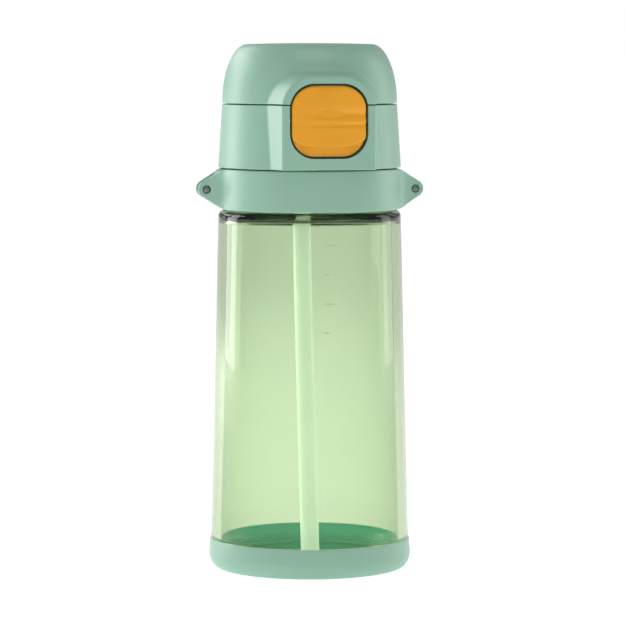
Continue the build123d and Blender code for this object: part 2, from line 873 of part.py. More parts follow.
# ---------------------------------------------------------------- push button
with BuildPart() as release_button:
    with BuildSketch(front_plane(button_back, button_centre_z)):
        pocket_outline(0)
    extrude(amount=button_thickness)
    fillet(release_button.edges().group_by(Axis.Y)[0], button_edge_round)
    for sign in (1, -1):
        lug_reach = button_back + button_axis_y + fuse_overlap
        with BuildSketch(across_plane(button_axis_y, button_centre_z).offset(sign * lug_offset)):
            Circle(lug_radius)
            with Locations((-lug_reach / 2, 0)):
                Rectangle(lug_reach, 2 * lug_radius)
        extrude(amount=lug_width / 2, both=True)
    with BuildSketch(front_plane(hook_tip, hook_z + hook_height / 2)):
        Rectangle(hook_width, hook_height)
    extrude(amount=button_back - hook_tip + fuse_overlap)
    with BuildSketch(across_plane(button_axis_y, button_centre_z)):
        Circle(button_pin_radius + running_gap)
    extrude(amount=button_width, both=True, mode=Mode.SUBTRACT)
finish(release_button, "release_button")

with BuildPart() as button_pin:
    pin_length = 2 * (pocket_half + pin_grip - running_gap)
    add(cross_pin(button_pin_radius, pin_length, button_axis_y, button_centre_z, button_pin_radius / 4))
finish(button_pin, "button_pin")

spring_gap = button_back - pocket_floor - button_spring_wire - 2 * running_gap
with BuildPart() as button_spring:
    spring_start = Vector(0, -(pocket_floor + button_spring_wire / 2 + running_gap), spring_z)
    with BuildLine() as spring_line:
        Helix(
            spring_gap / button_spring_turns,
            spring_gap,
            button_spring_radius,
            center=spring_start,
            direction=(0, -1, 0),
        )
    with BuildSketch(Plane(origin=spring_line.line @ 0, z_dir=spring_line.line % 0)):
        Circle(button_spring_wire / 2)
    sweep(path=spring_line.line, is_frenet=True)
finish(button_spring, "button_spring")
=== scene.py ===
"""Clear straw bottle with a mint cap, an orange push button and a plain scale."""

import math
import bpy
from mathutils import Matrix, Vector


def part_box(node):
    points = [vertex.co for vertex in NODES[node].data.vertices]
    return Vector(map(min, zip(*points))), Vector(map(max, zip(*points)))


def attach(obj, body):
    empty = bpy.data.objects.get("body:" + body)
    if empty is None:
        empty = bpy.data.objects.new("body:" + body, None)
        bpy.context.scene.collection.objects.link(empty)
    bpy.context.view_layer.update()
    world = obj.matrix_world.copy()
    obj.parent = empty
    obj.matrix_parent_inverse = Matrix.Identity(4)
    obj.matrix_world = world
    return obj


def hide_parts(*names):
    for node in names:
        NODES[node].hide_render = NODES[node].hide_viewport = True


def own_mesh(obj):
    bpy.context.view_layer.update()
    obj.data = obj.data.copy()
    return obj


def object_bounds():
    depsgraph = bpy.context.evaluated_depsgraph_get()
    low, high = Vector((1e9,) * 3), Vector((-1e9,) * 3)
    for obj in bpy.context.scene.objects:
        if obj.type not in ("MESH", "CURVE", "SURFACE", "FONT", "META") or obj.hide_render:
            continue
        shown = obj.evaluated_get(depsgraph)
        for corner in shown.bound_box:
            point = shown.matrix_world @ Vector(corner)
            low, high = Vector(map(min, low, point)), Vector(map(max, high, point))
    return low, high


bl_info = {
    "name": "Straw Bottle",
    "version": (1, 0, 0),
    "blender": (4, 5, 0),
    "location": "3D View > Sidebar > Bottle",
    "description": "Finishes and detail for a clear straw bottle with a flip lid",
    "category": "Object",
}

import bmesh
import bpy
from mathutils import Vector

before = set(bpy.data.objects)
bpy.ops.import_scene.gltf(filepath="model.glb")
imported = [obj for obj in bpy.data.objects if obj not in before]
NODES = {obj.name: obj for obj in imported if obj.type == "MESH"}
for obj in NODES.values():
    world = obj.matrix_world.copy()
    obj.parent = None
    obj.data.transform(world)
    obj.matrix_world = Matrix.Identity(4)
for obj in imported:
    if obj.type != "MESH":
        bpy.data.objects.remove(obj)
CAD_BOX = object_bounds()
MM = 0.001
TURN = 2 * math.pi

BODY_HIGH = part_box("bottle_body")[1]
BOOT_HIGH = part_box("base_boot")[1]
RING_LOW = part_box("strap_ring")[0]
SHOULDER_STEP = 0.2 * MM
BODY_SHOULDER = -RING_LOW.y - SHOULDER_STEP
BUTTON_LOW, BUTTON_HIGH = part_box("release_button")
HALF_WIDE = (BUTTON_HIGH.x - BUTTON_LOW.x) / 2
HALF_TALL = (BUTTON_HIGH.z - BUTTON_LOW.z) / 2


# ------------------------------------------------------------------ colour and node helpers


def linear(code):
    """Linear colour of an sRGB hex code."""
    shares = [int(code[place : place + 2], 16) / 255 for place in (1, 3, 5)]
    return tuple(c / 12.92 if c <= 0.04045 else ((c + 0.055) / 1.055) ** 2.4 for c in shares)


def add_node(tree, kind, values=None, links=None, **settings):
    """One shader node with its settings, its socket values and its incoming links."""
    node = tree.nodes.new(kind)
    for name, value in settings.items():
        setattr(node, name, value)
    for name, value in (values or {}).items():
        node.inputs[name].default_value = value
    for name, source in (links or {}).items():
        tree.links.new(source, node.inputs[name])
    return node


def start_material(name):
    """A material, its node tree, its Principled shader and the object coordinates."""
    material = bpy.data.materials.new(name)
    material.use_nodes = True
    tree = material.node_tree
    shader = tree.nodes["Principled BSDF"]
    place = add_node(tree, "ShaderNodeTexCoord").outputs["Object"]
    return material, tree, shader, place


def per_metre(size_mm):
    """Noise scale whose features measure about size_mm."""
    return 1 / (size_mm * MM)


def shade_drift(tree, place, colour, size_mm, share):
    """The colour, lighter and darker by a share in soft patches."""
    patches = add_node(
        tree,
        "ShaderNodeTexNoise",
        values={"Scale": per_metre(size_mm), "Detail": 2.0, "Roughness": 0.45},
        links={"Vector": place},
    )
    ramp = add_node(tree, "ShaderNodeValToRGB", links={"Fac": patches.outputs["Fac"]})
    low, high = ramp.color_ramp.elements
    low.position, high.position = 0.3, 0.7
    low.color = (*(c * (1 - share) for c in colour), 1)
    high.color = (*(min(c * (1 + share), 1) for c in colour), 1)
    return ramp.outputs["Color"]


def grain(tree, place, size_mm, depth_mm, strength):
    """Moulded surface grain: its height map and the bump that it gives."""
    pits = add_node(
        tree,
        "ShaderNodeTexNoise",
        values={"Scale": per_metre(size_mm), "Detail": 3.0, "Roughness": 0.6},
        links={"Vector": place},
    )
    bump = add_node(
        tree,
        "ShaderNodeBump",
        values={"Strength": strength, "Distance": depth_mm * MM},
        links={"Height": pits.outputs["Fac"]},
    )
    return pits.outputs["Fac"], bump.outputs["Normal"]


def spread(tree, source, low, high):
    """A 0 to 1 value spread between two numbers."""
    node = add_node(
        tree, "ShaderNodeMapRange", values={"To Min": low, "To Max": high}, links={"Value": source}
    )
    return node.outputs["Result"]


# ------------------------------------------------------------------ finishes

EDGE_STEEPNESS = 2.0
LAMPLIGHT_TINT = (0.96, 0.98, 0.95, 1)
MIX_COLOUR_A, MIX_COLOUR_B, MIX_COLOUR_OUT = 6, 7, 2
CLEAR_DENSITY = 180.0
# Painted light: the straw glows a little, as if lit, though it is no lamp.
STRAW_PAINTED_GLOW = 0.3
# Painted light: the inside of the boot glows, as if lit through the clear body, though it is no
# lamp.
BOOT_INSIDE_PAINTED_GLOW = 0.5


def satin_polypropylene(name, tint, gloss=0.38, softness=0.08, glow=0.0):
    """Moulded polypropylene from a finely blasted tool: an even satin, softly highlighted."""
    material, tree, shader, place = start_material(name)
    colour = shade_drift(tree, place, tint, size_mm=26, share=0.02)
    height, normal = grain(tree, place, size_mm=0.7, depth_mm=0.03, strength=0.12)
    tree.links.new(colour, shader.inputs["Base Color"])
    tree.links.new(spread(tree, height, gloss - 0.05, gloss + 0.07), shader.inputs["Roughness"])
    tree.links.new(normal, shader.inputs["Normal"])
    shader.inputs["IOR"].default_value = 1.49
    shader.inputs["Subsurface Weight"].default_value = softness
    shader.inputs["Subsurface Radius"].default_value = (1.0, 1.0, 0.9)
    shader.inputs["Subsurface Scale"].default_value = 1.2 * MM
    # The glow setting is painted light: the moulding shines in its own colour as if lit, though it
    # is no lamp.
    shader.inputs["Emission Color"].default_value = (*tint, 1)
    shader.inputs["Emission Strength"].default_value = glow
    return material


def clear_copolyester(name, tint, painted_edge_shade, absorbed, density):
    """Blow-moulded clear copolyester: glassy, tinted through, with a faint waviness from the mould.

    Lamplight goes straight through it, so that what is inside is lit. Its refractive index is
    set below the real plastic's, which is about 1.57, to hold the reflections at its sides down.
    """
    material, tree, shader, place = start_material(name)
    height, normal = grain(tree, place, size_mm=18, depth_mm=0.12, strength=0.05)
    tree.links.new(spread(tree, height, 0.015, 0.05), shader.inputs["Roughness"])
    tree.links.new(normal, shader.inputs["Normal"])
    # Painted shade: the surface colour turns dark green towards the sides as they face away,
    # standing in for the depth of plastic seen there.
    facing = add_node(tree, "ShaderNodeLayerWeight", values={"Blend": 0.35})
    steep = add_node(
        tree,
        "ShaderNodeMath",
        values={1: EDGE_STEEPNESS},
        links={0: facing.outputs["Facing"]},
        operation="POWER",
    )
    painted_edge_mix = add_node(
        tree, "ShaderNodeMix", links={"Factor": steep.outputs["Value"]}, data_type="RGBA"
    )
    painted_edge_mix.inputs[MIX_COLOUR_A].default_value = (*tint, 1)
    painted_edge_mix.inputs[MIX_COLOUR_B].default_value = (*painted_edge_shade, 1)
    tree.links.new(painted_edge_mix.outputs[MIX_COLOUR_OUT], shader.inputs["Base Color"])
    shader.inputs["Transmission Weight"].default_value = 1.0
    shader.inputs["IOR"].default_value = 1.33
    shader.inputs["Specular IOR Level"].default_value = 0.05
    volume = add_node(
        tree,
        "ShaderNodeVolumeAbsorption",
        values={"Color": (*absorbed, 1), "Density": density},
    )
    lamplight = add_node(tree, "ShaderNodeBsdfTransparent", values={"Color": LAMPLIGHT_TINT})
    path = add_node(tree, "ShaderNodeLightPath")
    mixed = add_node(tree, "ShaderNodeMixShader", links={"Fac": path.outputs["Is Shadow Ray"]})
    tree.links.new(shader.outputs["BSDF"], mixed.inputs[1])
    tree.links.new(lamplight.outputs["BSDF"], mixed.inputs[2])
    output = tree.nodes["Material Output"]
    tree.links.new(mixed.outputs["Shader"], output.inputs["Surface"])
    tree.links.new(volume.outputs["Volume"], output.inputs["Volume"])
    return material


def milky_polyethylene(name, code):
    """Extruded low-density polyethylene: half clear with a milky cast and a soft gloss, and a faint
    painted glow that stands in for lamplight hardly reaching it inside the body.
    """
    material, tree, shader, place = start_material(name)
    drawn = add_node(
        tree, "ShaderNodeMapping", values={"Scale": (1.0, 1.0, 0.02)}, links={"Vector": place}
    )
    along = drawn.outputs["Vector"]
    height, normal = grain(tree, along, size_mm=1.2, depth_mm=0.004, strength=0.05)
    tree.links.new(
        shade_drift(tree, place, linear(code), size_mm=9, share=0.02), shader.inputs["Base Color"]
    )
    tree.links.new(spread(tree, height, 0.12, 0.20), shader.inputs["Roughness"])
    tree.links.new(normal, shader.inputs["Normal"])
    shader.inputs["Transmission Weight"].default_value = 0.15
    shader.inputs["IOR"].default_value = 1.40
    # Painted light: emission in the straw's own colour makes it look lit.
    shader.inputs["Emission Color"].default_value = (*linear(code), 1)
    shader.inputs["Emission Strength"].default_value = STRAW_PAINTED_GLOW
    return material


def food_silicone(name, code, clearness):
    """Compression-moulded silicone: soft to the light and matt, with a slight bloom."""
    material, tree, shader, place = start_material(name)
    height, normal = grain(tree, place, size_mm=0.5, depth_mm=0.02, strength=0.15)
    tree.links.new(
        shade_drift(tree, place, linear(code), size_mm=6, share=0.03), shader.inputs["Base Color"]
    )
    tree.links.new(spread(tree, height, 0.38, 0.52), shader.inputs["Roughness"])
    tree.links.new(normal, shader.inputs["Normal"])
    shader.inputs["Transmission Weight"].default_value = clearness
    shader.inputs["IOR"].default_value = 1.41
    shader.inputs["Subsurface Weight"].default_value = 0.6
    shader.inputs["Subsurface Scale"].default_value = 3 * MM
    return material


def stainless_wire(name, code):
    """Drawn stainless steel wire and pin: bright, with faint draw lines along it."""
    material, tree, shader, place = start_material(name)
    height, normal = grain(tree, place, size_mm=0.35, depth_mm=0.01, strength=0.2)
    tree.links.new(
        shade_drift(tree, place, linear(code), size_mm=3, share=0.06), shader.inputs["Base Color"]
    )
    tree.links.new(spread(tree, height, 0.16, 0.30), shader.inputs["Roughness"])
    tree.links.new(normal, shader.inputs["Normal"])
    shader.inputs["Metallic"].default_value = 1.0
    return material


def pad_printed_ink(name, code, cover=1.0):
    """Pad-printed ink: a thin flat film, a little starved in places so that it looks soft."""
    material, tree, shader, place = start_material(name)
    height, normal = grain(tree, place, size_mm=0.6, depth_mm=0.01, strength=0.2)
    tree.links.new(
        shade_drift(tree, place, linear(code), size_mm=5, share=0.04), shader.inputs["Base Color"]
    )
    tree.links.new(spread(tree, height, 0.45, 0.6), shader.inputs["Roughness"])
    tree.links.new(normal, shader.inputs["Normal"])
    shader.inputs["Alpha"].default_value = cover
    return material


# ------------------------------------------------------------------ mesh helpers


def clean(bm, distance=1e-6):
    """Merges doubles and turns every face outwards."""
    bmesh.ops.remove_doubles(bm, verts=bm.verts[:], dist=distance)
    bmesh.ops.recalc_face_normals(bm, faces=bm.faces[:])


def make_piece(name, bm, material, body, replaces=(), crease_deg=40):
    """A finished object from a bmesh, smooth-shaded up to a crease angle, riding on its body."""
    mesh = bpy.data.meshes.new(name)
    bm.to_mesh(mesh)
    bm.free()
    for polygon in mesh.polygons:
        polygon.use_smooth = True
    mesh.set_sharp_from_angle(angle=math.radians(crease_deg))
    mesh.materials.append(material)
    piece = bpy.data.objects.new(name, mesh)
    bpy.context.scene.collection.objects.link(piece)
    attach(piece, body)
    if replaces:
        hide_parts(*replaces)
    return piece


def dress_node(name, material):
    """Gives a carried-over node its finish."""
    mesh = NODES[name].data
    mesh.materials.clear()
    mesh.materials.append(material)


def arc(centre, radius, start_deg, end_deg, steps):
    """Points along an arc in the (radius, height) plane."""
    points = []
    for step in range(steps + 1):
        angle = math.radians(start_deg + (end_deg - start_deg) * step / steps)
        points.append((centre[0] + radius * math.cos(angle), centre[1] + radius * math.sin(angle)))
    return points


def lathe(points, steps=192):
    """Closed shape turned about Z from (radius, height) points in millimetres."""
    bm = bmesh.new()
    verts = [bm.verts.new((r * MM, 0, z * MM)) for r, z in points]
    edges = [bm.edges.new(pair) for pair in zip(verts, verts[1:])]
    bmesh.ops.spin(
        bm,
        geom=verts + edges,
        cent=(0, 0, 0),
        axis=(0, 0, 1),
        angle=TURN,
        steps=steps,
        use_merge=True,
    )
    clean(bm)
    return bm


# ------------------------------------------------------------------ sizes and colours


def hex_colour(name, description, code):
    """A colour property whose default is an sRGB hex code."""
    return bpy.props.FloatVectorProperty(
        name=name, description=description, default=linear(code), subtype="COLOR", min=0, max=1
    )


def length_mm(name, description, value):
    """A length property in millimetres."""
    return bpy.props.FloatProperty(name=name, description=description, default=value, min=0)


class BottleBodySizes(bpy.types.PropertyGroup):
    """Sizes of the clear body and what is printed on it, in millimetres."""

    print_lift: length_mm("Print lift", "Height that each layer of ink adds", 0.08)
    print_film: length_mm("Print film", "Thickness of one layer of ink", 0.05)
    print_turn: bpy.props.FloatProperty(
        name="Print turn",
        description="Where the scale faces",
        default=math.radians(-5.5),
        subtype="ANGLE",
        unit="ROTATION",
    )


class BottleBootSizes(bpy.types.PropertyGroup):
    """Sizes of the opaque boot, in millimetres."""

    floor: length_mm("Floor", "Thickness of the floor", 2.0)
    seat: length_mm("Seat", "Radius of the clear foot that the boot holds", 36.2)
    rim: length_mm("Rim", "Outside radius at the top", 38.0)
    lip_round: length_mm("Lip round", "Rounding of the top edge", 0.25)
    foot_inset: length_mm("Foot inset", "How far the rounded foot draws in", 3.8)
    edge_height: length_mm("Edge height", "Height of the rounded foot", 6.0)
    air: length_mm("Air", "Film of air between boot and body", 0.05)


class BottleButtonSizes(bpy.types.PropertyGroup):
    """Sizes of the push button's face, in millimetres."""

    corner: length_mm("Corner", "Radius of the outline's corners", 8.9)
    thickness: length_mm("Thickness", "Depth of the button's plate", 2.0)
    dish: length_mm("Dish", "How far the face is hollowed for the thumb", 1.9)
    edge_round: length_mm("Edge round", "Radius of the face's rim", 0.6)
    ripple: length_mm("Ripple", "Depth of the two grip grooves", 0.5)
    lip: length_mm("Lip", "Height of the finger lip at the foot of the face", 3.2)
    lip_rise: length_mm("Lip rise", "How far the lip's crease climbs at its ends", 4.8)
    lip_fall: length_mm("Lip fall", "How far the lip is set back under the face", 1.1)
    show_gap: length_mm("Gap", "How far the face stays inside its plate all round", 0.35)


class BottleSpringSizes(bpy.types.PropertyGroup):
    """Sizes of the push button's return spring, in millimetres."""

    wire: length_mm("Wire", "Diameter of the wire", 0.6)
    turns: bpy.props.FloatProperty(name="Turns", description="Turns of the coil", default=3.5)
    kept: bpy.props.FloatProperty(
        name="Kept", description="Share of its length left with the button pressed", default=0.5
    )


class BottleColours(bpy.types.PropertyGroup):
    """Colours of the bottle's finishes and the strength of its lights."""

    mint: hex_colour("Mint", "Boot, ring, cap and lid", "#87AF9B")
    orange: hex_colour("Orange", "Push button", "#E09804")
    clear: hex_colour("Clear body", "Tint of the clear body's surface", "#E4EEDD")
    absorbed: hex_colour("Clear body depth", "Tint that thick places take", "#DDE4D3")
    key_power: bpy.props.FloatProperty(
        name="Key light", description="Power of the large left softbox", default=7.4, unit="POWER"
    )
    fill_power: bpy.props.FloatProperty(
        name="Fill light", description="Power of the right softbox", default=3.0, unit="POWER"
    )


# Painted light: a brighter, more saturated mint for the inside of the boot, standing in for light
# seen through the clear body.
MINT_INSIDE_PAINTED_LIGHT = "#69D4B9"
# Painted shade: dark green for the clear body's sides.
CLEAR_EDGE_PAINTED_SHADE = "#35701F"
WHITE_PLASTIC = "#E9EDE8"
MILKY = "#EEF6EC"
SILICONE = "#E8EEE8"
STEEL = "#C8C9C4"
# Painted reflection: darker steel for the strap pins.
PIN_PAINTED_REFLECTION_STEEL = "#6E7672"
INK_TICK = "#B4BD7E"


FOOT_STEPS = 18
WIRE_SIDES, WIRE_STEPS = 10, 96
BUTTON_GRID = 96


# ------------------------------------------------------------------ operators


class BOTTLE_OT_mouldings(bpy.types.Operator):
    """Satin mint mouldings: boot, strap ring, cap shell, deck plate and lid"""

    bl_idname = "bottle.mouldings"
    bl_label = "Mint mouldings"

    def execute(self, context):
        colours = context.scene.bottle_colours
        mint = satin_polypropylene("satin mint polypropylene", colours.mint)
        white = satin_polypropylene("satin white polypropylene", linear(WHITE_PLASTIC), gloss=0.42)
        for node in ("strap_ring", "cap_shell", "deck_plate", "lid_shell"):
            dress_node(node, mint)
        self.turn_boot(context.scene.bottle_boot_sizes, mint)
        for node in ("cap_insert", "lid_liner"):
            dress_node(node, white)
        return {"FINISHED"}

    @staticmethod
    def turn_boot(sizes, mint):
        """Opaque boot, with a film of air between it and the clear body that it holds. Its inside
        is a brighter, more saturated mint that glows: painted light.
        """
        widest, top = BOOT_HIGH.x / MM, BOOT_HIGH.z / MM
        seat, air, lip = sizes.seat, sizes.air, sizes.lip_round
        flat = widest - sizes.foot_inset
        foot = []
        for step in range(FOOT_STEPS + 1):
            angle = TURN / 4 * step / FOOT_STEPS
            radius = flat + sizes.foot_inset * math.sin(angle)
            foot.append((radius, sizes.edge_height * (1 - math.cos(angle))))
        rim = arc((sizes.rim - lip, top - air - lip), lip, 0, 90, 6)
        inside = [(seat + air, top - air), (seat + air, sizes.floor - air), (0, sizes.floor - air)]
        bm = lathe([(0, 0), *foot, *rim, *inside])
        boot = make_piece("boot_moulding", bm, mint, "bottle", ("base_boot",), 30)
        # Painted light: the inside of the boot gets a glossier copy of the mint that is brighter,
        # more saturated and glows, though no lamp lights it there.
        boot.data.materials.append(
            satin_polypropylene(
                "polished mint polypropylene, painted glow",
                linear(MINT_INSIDE_PAINTED_LIGHT),
                gloss=0.18,
                glow=BOOT_INSIDE_PAINTED_GLOW,
            )
        )
        reach, low = (seat + 2 * air) * MM, (sizes.floor - 2 * air) * MM
        for polygon in boot.data.polygons:
            if polygon.center.xy.length < reach and polygon.center.z > low:
                polygon.material_index = 1


class BOTTLE_OT_metalwork(bpy.types.Operator):
    """Stainless pins and springs"""

    bl_idname = "bottle.metalwork"
    bl_label = "Pins and springs"

    def execute(self, context):
        # Painted reflection: the strap pins' steel is darkened to stand in for the dark reflections
        # their ends show.
        dark = stainless_wire("stainless pin, painted dark reflection", PIN_PAINTED_REFLECTION_STEEL)
        for node in ("strap_pin_left", "strap_pin_right"):
            dress_node(node, dark)
        steel = stainless_wire("stainless steel wire", STEEL)
        for node in ("lid_hinge_pin", "lid_spring", "button_pin"):
            dress_node(node, steel)
        self.wind_button_spring(context.scene.bottle_spring_sizes, steel)
        return {"FINISHED"}

    @staticmethod
    def wind_button_spring(sizes, steel):
        """Coil behind the button."""
        low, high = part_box("button_spring")
        middle, wire = (low + high) / 2, sizes.wire / 2 * MM
        reach = (high.z - low.z) / 2 - wire
        length = high.y - low.y - 2 * wire
        around, along = WIRE_SIDES, WIRE_STEPS
        bm = bmesh.new()
        rings = []
        for step in range(along + 1):
            share = step / along
            turn = TURN * sizes.turns * share
            out = Vector((math.cos(turn), 0, math.sin(turn)))
            centre = Vector((middle.x, high.y - wire - length * share, middle.z)) + out * reach
            rings.append(
                [
                    bm.verts.new(
                        centre
                        + out * wire * math.cos(TURN * side / around)
                        + Vector((0, wire * math.sin(TURN * side / around), 0))
                    )
                    for side in range(around)
                ]
            )
        for ring, following in zip(rings, rings[1:]):
            for side in range(around):
                after = (side + 1) % around
                bm.faces.new((ring[side], ring[after], following[after], following[side]))
        bm.faces.new(rings[0])
        bm.faces.new(reversed(rings[-1]))
        bmesh.ops.recalc_face_normals(bm, faces=bm.faces[:])
        coil = make_piece("button_return_coil", bm, steel, "cap", ("button_spring",))
        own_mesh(coil)


class BOTTLE_OT_soft_parts(bpy.types.Operator):
    """Silicone seals, valve and mouthpiece, and the milky straw"""

    bl_idname = "bottle.soft_parts"
    bl_label = "Silicone parts and straw"

    def execute(self, context):
        seal = food_silicone("white food silicone", SILICONE, clearness=0.0)
        spout = food_silicone("milky food silicone", SILICONE, clearness=0.35)
        for node in ("cap_gasket", "vent_valve", "lid_seal"):
            dress_node(node, seal)
        dress_node("mouthpiece", spout)
        dress_node("straw", milky_polyethylene("milky polyethylene", MILKY))
        return {"FINISHED"}


class BOTTLE_OT_clear_body(bpy.types.Operator):
    """Clear tinted body"""

    bl_idname = "bottle.clear_body"
    bl_label = "Clear body"

    def execute(self, context):
        colours = context.scene.bottle_colours
        clear = clear_copolyester(
            "clear tinted copolyester",
            colours.clear,
            linear(CLEAR_EDGE_PAINTED_SHADE),
            colours.absorbed,
            CLEAR_DENSITY,
        )
        dress_node("bottle_body", clear)
        return {"FINISHED"}


def body_radius(height):
    """Outside radius of the clear body at a height, in metres."""
    low, high = BOOT_HIGH.z, RING_LOW.z
    share = (height - low) / (high - low)
    return BODY_HIGH.x + (BODY_SHOULDER - BODY_HIGH.x) * share


class BOTTLE_OT_scale(bpy.types.Operator):
    """Plain scale ticks on the clear body"""

    bl_idname = "bottle.scale"
    bl_label = "Scale ticks"

    def execute(self, context):
        sizes = context.scene.bottle_body_sizes
        marks = {"print_scale_ticks": (INK_TICK, 1, self.ticks())}
        for name, (code, layer, shapes) in marks.items():
            bm = bmesh.new()
            for shape in shapes:
                self.add_mark(bm, shape, sizes, layer)
            clean(bm, distance=1e-7)
            ink = pad_printed_ink(name.replace("print_", "ink, ").replace("_", " "), code)
            make_piece(name, bm, ink, "bottle")
        return {"FINISHED"}

    @staticmethod
    def add_mark(bm, shape, sizes, layer):
        """One mark of ink from its foot to its tip, wrapped on the body as a thin film.

        A shape is foot across and up, tip across and up, half width, fullness, sideways bend.
        """
        foot_u, foot_z, tip_u, tip_z, half_width, fullness, bend = shape
        run_u, run_z = tip_u - foot_u, tip_z - foot_z
        length = math.hypot(run_u, run_z)
        grid = bmesh.new()
        long_steps = max(8, int(length))
        wide_steps = max(2, int(half_width * 1.4))
        bmesh.ops.create_grid(grid, x_segments=long_steps, y_segments=wide_steps, size=1)
        for vert in grid.verts:
            share, side = (vert.co.x + 1) / 2, vert.co.y
            width = half_width * (4 * share * (1 - share)) ** fullness
            shift = side * width + bend * 4 * share * (1 - share)
            along = foot_u + run_u * share - run_z / length * shift
            height = (foot_z + run_z * share + run_u / length * shift) * MM
            radius = body_radius(height) + sizes.print_lift * layer * MM
            angle = along * MM / radius + sizes.print_turn
            vert.co = (radius * math.sin(angle), -radius * math.cos(angle), height)
        bmesh.ops.remove_doubles(grid, verts=grid.verts[:], dist=1e-6)
        film = sizes.print_film * MM
        bmesh.ops.recalc_face_normals(grid, faces=grid.faces[:])
        bmesh.ops.solidify(grid, geom=grid.faces[:], thickness=film)
        mesh = bpy.data.meshes.new("mark")
        grid.to_mesh(mesh)
        grid.free()
        bm.from_mesh(mesh)
        bpy.data.meshes.remove(mesh)

    @staticmethod
    def ticks():
        """Short scale ticks at even fillings, every second one longer."""
        step, low = 10.8, 92.0
        return tuple(
            (1.5, low + step * place, 4.0 + 2.0 * (place % 2), low + step * place, 0.22, 0.2, 0.0)
            for place in range(4)
        )


class BOTTLE_OT_push_button(bpy.types.Operator):
    """Orange push button: a dished face with two grip grooves and a finger lip"""

    bl_idname = "bottle.push_button"
    bl_label = "Push button"

    def execute(self, context):
        sizes = context.scene.bottle_button_sizes
        mid_z = (BUTTON_HIGH.z + BUTTON_LOW.z) / 2
        bm = bmesh.new()
        bmesh.ops.create_grid(bm, x_segments=BUTTON_GRID, y_segments=BUTTON_GRID, size=1)
        for vert in bm.verts:
            across, up = vert.co.x, vert.co.y
            rim = max(abs(across), abs(up))
            angle = math.atan2(up, across)
            reach = rim_reach(angle, sizes) - sizes.show_gap
            x_mm, z_mm = rim * reach * math.cos(angle), rim * reach * math.sin(angle)
            sunk = self.sunk_depth(x_mm, z_mm, (1 - rim) * reach, sizes)
            vert.co = (x_mm * MM, BUTTON_LOW.y + sunk * MM, mid_z + z_mm * MM)
        rim_edges = [edge for edge in bm.edges if edge.is_boundary]
        skirt = bmesh.ops.extrude_edge_only(bm, edges=rim_edges)
        skirt_verts = [item for item in skirt["geom"] if isinstance(item, bmesh.types.BMVert)]
        for vert in skirt_verts:
            vert.co.y = BUTTON_LOW.y + sizes.thickness * MM
        back_edges = [edge for edge in bm.edges if edge.is_boundary]
        bmesh.ops.holes_fill(bm, edges=back_edges, sides=0)
        clean(bm)
        orange = satin_polypropylene(
            "satin orange ABS", context.scene.bottle_colours.orange, gloss=0.30, softness=0.05
        )
        make_piece(
            "push_button_face", bm, orange, "button", ("release_button",), 60
        )
        return {"FINISHED"}

    @staticmethod
    def sunk_depth(across, up, inset, sizes):
        """How far the face lies behind its frontmost plane, in millimetres."""
        half_wide, half_tall = HALF_WIDE / MM, HALF_TALL / MM
        dish = sizes.dish * (1 - (across / half_wide) ** 2)
        edge = max(0.0, 1 - inset / sizes.edge_round)
        rounding = sizes.edge_round * (1 - math.sqrt(max(0.0, 1 - edge * edge)))
        fade = 0.5 + 0.5 * math.tanh((across / half_wide + 0.1) * 2.2)
        grooves = sum(
            depth * math.exp(-(((up - height) / width) ** 2))
            for height, width, depth in ((2.6, 1.5, 1.0), (-1.4, 0.7, 0.8))
        )
        climb = 1 - math.sqrt(max(0.0, 1 - (across / half_wide) ** 2))
        below = -half_tall + sizes.lip + sizes.lip_rise * climb - up
        step = sizes.lip_fall / (1 + math.exp(-below / 0.14)) - 0.5 * max(0.0, below) / sizes.lip
        return dish + rounding + sizes.ripple * fade * grooves + step


def rim_reach(angle, sizes):
    """Distance from the button's middle to its rounded-square outline along an angle."""
    half_wide, half_tall, corner = HALF_WIDE / MM, HALF_TALL / MM, sizes.corner
    over, rise = abs(math.cos(angle)), abs(math.sin(angle))
    if over * half_tall > rise * half_wide:
        straight, level = half_wide / over, half_wide * rise / over
        rounded = level > half_tall - corner
    else:
        straight, level = half_tall / rise, half_tall * over / rise
        rounded = level > half_wide - corner
    if not rounded:
        return straight
    middle_x, middle_z = half_wide - corner, half_tall - corner
    along = over * middle_x + rise * middle_z
    return along + math.sqrt(along**2 - middle_x**2 - middle_z**2 + corner**2)


FLOOR_RADIUS, FLOOR_GLOW, FLOOR_DROP = 60.0, 0.66, 0.05 * MM
ROOM_LIGHT, ROOM_BACKDROP = 0.42, 1.0
CAMERA_SIDE_DEG, CAMERA_DISTANCE, CAMERA_LENS = -11.5, 1.265, 192.0
CAMERA_BELOW_TOP = 1.0 * MM
AIM_RIGHT, AIM_HEIGHT = 1.3 * MM, 96.7 * MM


